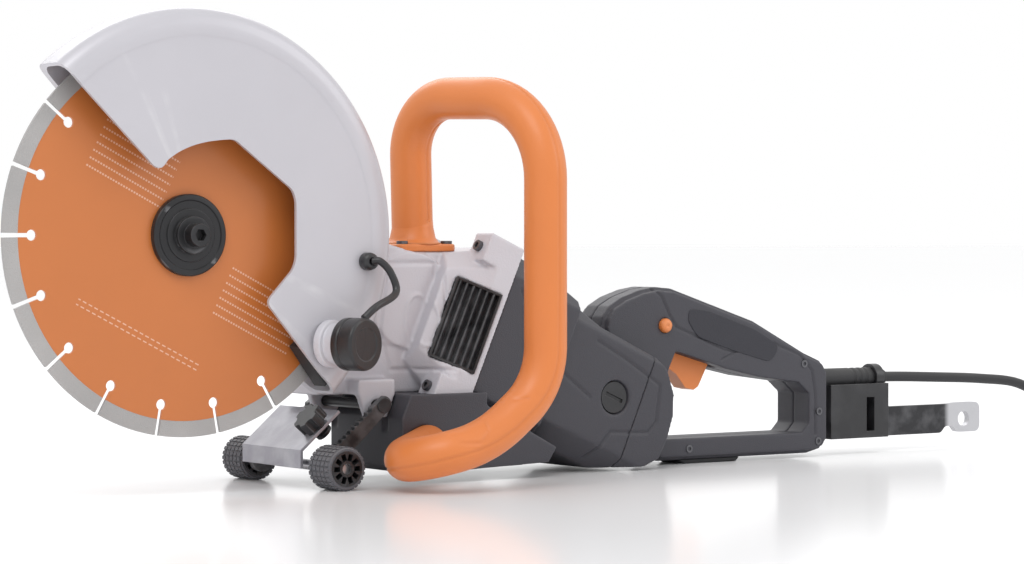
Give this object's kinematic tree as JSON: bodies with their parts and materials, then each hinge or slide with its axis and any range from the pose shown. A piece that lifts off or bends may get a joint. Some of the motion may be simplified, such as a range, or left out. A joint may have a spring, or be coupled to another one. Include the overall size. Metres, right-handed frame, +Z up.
{
  "type": "concrete cut-off saw",
  "caption": "Corded hand-held disc cutter with guarded diamond blade, wrap-round front handle, rear trigger grip and front roller carriage.",
  "frame": {"origin": "on the floor under the middle of the machine without its free cord", "axes": "+X towards the rear handle, +Y to the operator's right, +Z up"},
  "size_m": [1.301, 0.2969, 0.362],
  "materials": {
    "blade_paint": "satin orange lacquer on the steel disc",
    "diamond_segment": "grey sintered segments",
    "dark_steel": "blackened steel",
    "steel": "turned steel",
    "pulley_alloy": "turned aluminium",
    "cast_alloy": "satin silver paint on a casting",
    "guard_paint": "satin silver grey paint",
    "belt_rubber": "ribbed drive belt",
    "housing_plastic": "fine grained dark grey plastic",
    "black_plastic": "black plastic",
    "soft_rubber": "soft black rubber",
    "tread_rubber": "grey roller tread with small pits",
    "handle_orange": "satin orange plastic",
    "spanner_steel": "black steel, bare at the ring end",
    "lamination": "stacked laminations",
    "copper": "copper",
    "carbon": "carbon",
    "brass": "brass"
  },
  "bodies": {
    "machine": {"shaft_bearings": "steel", "arm_housing": "cast_alloy", "arm_cover": "cast_alloy", "drive_belt": "belt_rubber", "gearbox_housing": "cast_alloy", "vent_grilles": "black_plastic", "motor_housing": "housing_plastic", "motor_rear_cover": "housing_plastic", "stator_core": "lamination", "field_windings": "copper", "brushes": "carbon", "brush_holders": "brass", "brush_caps": "black_plastic", "front_handle": "handle_orange", "lower_bracket": "housing_plastic", "rear_handle_left": "housing_plastic", "rear_handle_right": "housing_plastic", "grip_pad": "soft_rubber", "rear_foot": "soft_rubber", "switch_body": "black_plastic", "body_screws": "steel", "pivot_pin": "steel", "cord_sleeve": "soft_rubber", "power_cord": "soft_rubber", "cord_coil": "soft_rubber", "plug": "soft_rubber", "tool_holder": "black_plastic"},
    "blade_set": {"spindle": "steel", "blade_core": "blade_paint", "blade_segments": "diamond_segment", "outer_flange": "dark_steel", "inner_flange": "dark_steel", "spindle_bolt": "dark_steel", "driven_pulley": "pulley_alloy"},
    "layshaft_set": {"layshaft": "steel", "drive_pulley": "pulley_alloy", "bevel_gear": "steel"},
    "armature": {"armature_shaft": "steel", "armature_core": "lamination", "armature_windings": "copper", "commutator": "copper", "cooling_fan": "pulley_alloy", "bevel_pinion": "steel"},
    "guard": {"guard_shell": "guard_paint", "guard_deflector": "soft_rubber", "dust_port": "cast_alloy", "cap_tether": "soft_rubber"},
    "dust_cap": {"dust_cap": "black_plastic"},
    "trigger": {"trigger": "handle_orange"},
    "lockoff_button": {"lockoff_button": "handle_orange"},
    "roller_carriage": {"carriage_arms": "black_plastic", "carriage_plate": "guard_paint", "wheel_axle": "steel"},
    "near_roller": {"near_wheel": "black_plastic", "near_tread": "tread_rubber"},
    "far_roller": {"far_wheel": "black_plastic", "far_tread": "tread_rubber"},
    "carriage_knob": {"carriage_knob": "black_plastic"},
    "spanner": {"spanner": "spanner_steel"}
  },
  "joints": [
    {"name": "blade_spin", "type": "hinge", "parent": "machine", "child": "blade_set", "pos_m": [-0.2535, -0.00725, 0.194], "axis": [0, 1, 0], "continuous": true},
    {"name": "layshaft_spin", "type": "hinge", "parent": "machine", "child": "layshaft_set", "pos_m": [-0.0385, -0.00725, 0.1425], "axis": [0, 1, 0], "continuous": true},
    {"name": "armature_spin", "type": "hinge", "parent": "machine", "child": "armature", "pos_m": [-0.0385, 0.04475, 0.1425], "axis": [0.9135, 0, -0.4067], "continuous": true},
    {"name": "guard_swing", "type": "hinge", "parent": "machine", "child": "guard", "pos_m": [-0.2535, -0.00725, 0.194], "axis": [0, 1, 0], "range_deg": [-40, 20]},
    {"name": "dust_cap_pull", "type": "slide", "parent": "guard", "child": "dust_cap", "axis": [0.3256, -0.9455, 0], "range_m": [0, 0.03]},
    {"name": "trigger_squeeze", "type": "hinge", "parent": "machine", "child": "trigger", "pos_m": [0.2335, 0.04475, 0.099], "axis": [0, -1, 0], "range_deg": [0, 7], "stiffness_Nm_per_rad": 1.5, "springref_deg": -2.86},
    {"name": "lockoff_push", "type": "slide", "parent": "machine", "child": "lockoff_button", "axis": [0, 1, 0], "range_m": [0, 0.003], "stiffness_N_per_m": 400, "springref_m": -0.0005},
    {"name": "roller_fold", "type": "hinge", "parent": "machine", "child": "roller_carriage", "pos_m": [-0.0815, -0.00725, 0.062], "axis": [0, 1, 0], "range_deg": [-15, 6]},
    {"name": "near_roller_spin", "type": "hinge", "parent": "roller_carriage", "child": "near_roller", "pos_m": [-0.1345, -0.04125, 0.017], "axis": [0, 1, 0], "continuous": true},
    {"name": "far_roller_spin", "type": "hinge", "parent": "roller_carriage", "child": "far_roller", "pos_m": [-0.1345, 0.09075, 0.017], "axis": [0, 1, 0], "continuous": true},
    {"name": "carriage_knob_turn", "type": "hinge", "parent": "roller_carriage", "child": "carriage_knob", "pos_m": [-0.1325, 0.00475, 0.0468], "axis": [-0.7604, 0, 0.6494], "range_deg": [0, 180]},
    {"name": "spanner_pull", "type": "slide", "parent": "machine", "child": "spanner", "axis": [1, 0, 0], "range_m": [0, 0.06]}
  ],
  "couplings": [
    {"joint": "layshaft_spin", "follows": "blade_spin", "ratio": 1.6},
    {"joint": "armature_spin", "follows": "blade_spin", "ratio": -4.8}
  ]
}
